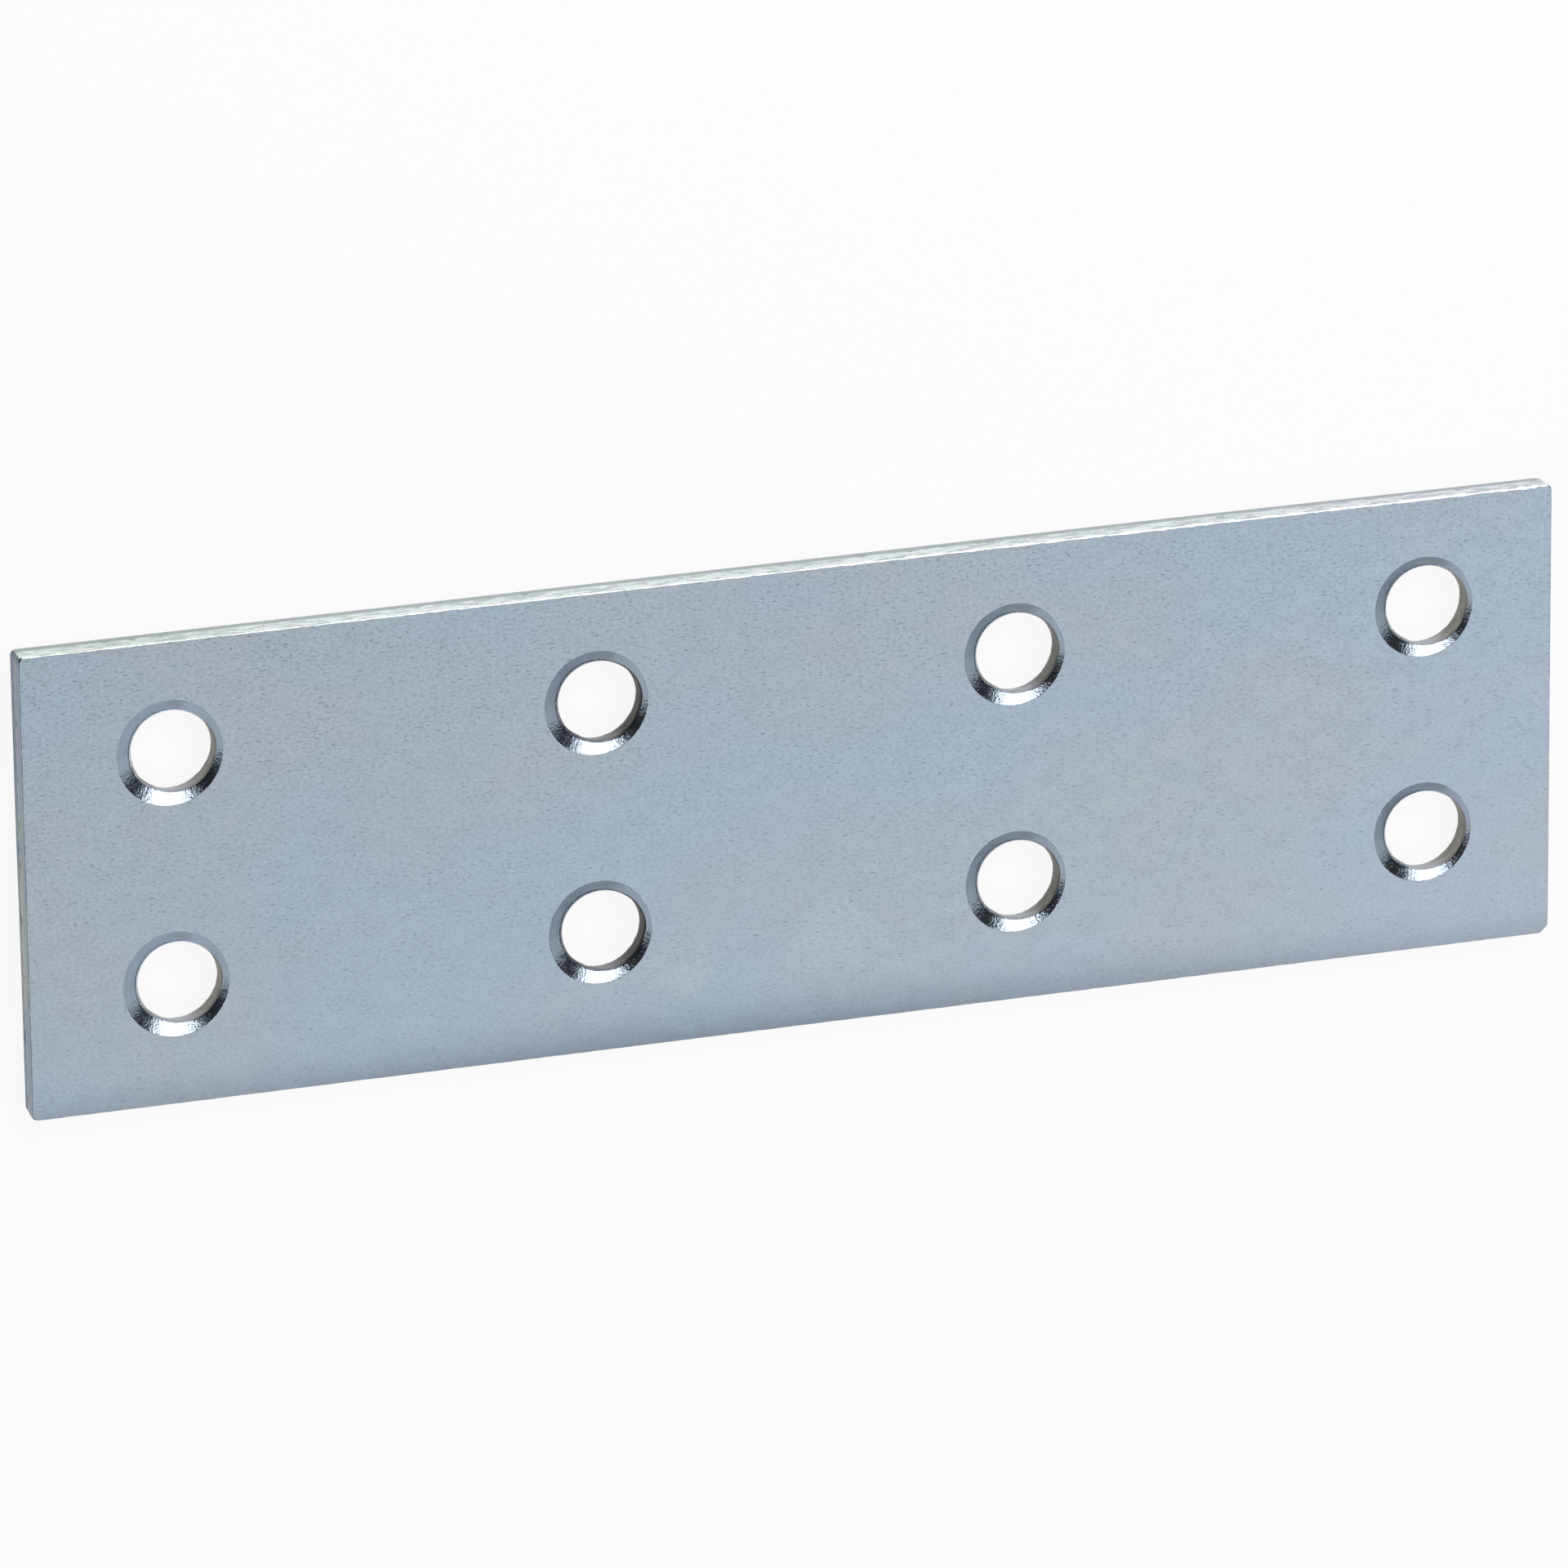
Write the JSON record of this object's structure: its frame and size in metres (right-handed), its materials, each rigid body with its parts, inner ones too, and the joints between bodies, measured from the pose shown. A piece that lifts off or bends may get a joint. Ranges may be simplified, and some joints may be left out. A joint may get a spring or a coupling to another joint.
{
  "type": "mending plate",
  "caption": "Flat zinc-plated steel strip with rows of countersunk screw holes, screwed across a butt joint to hold or mend it.",
  "frame": {"origin": "middle of the plate's back face, the flat face that bears on the work", "axes": "+X along the plate's length, +Y across its width, +Z out of the countersunk front face"},
  "size_m": [0.1, 0.03, 0.002],
  "materials": {
    "zinc_plated_steel": "blue-passivated zinc plating over cold-rolled sheet, satin, with fine pits along the rolling direction"
  },
  "bodies": {
    "root": {"plate": "zinc_plated_steel"}
  },
  "joints": []
}
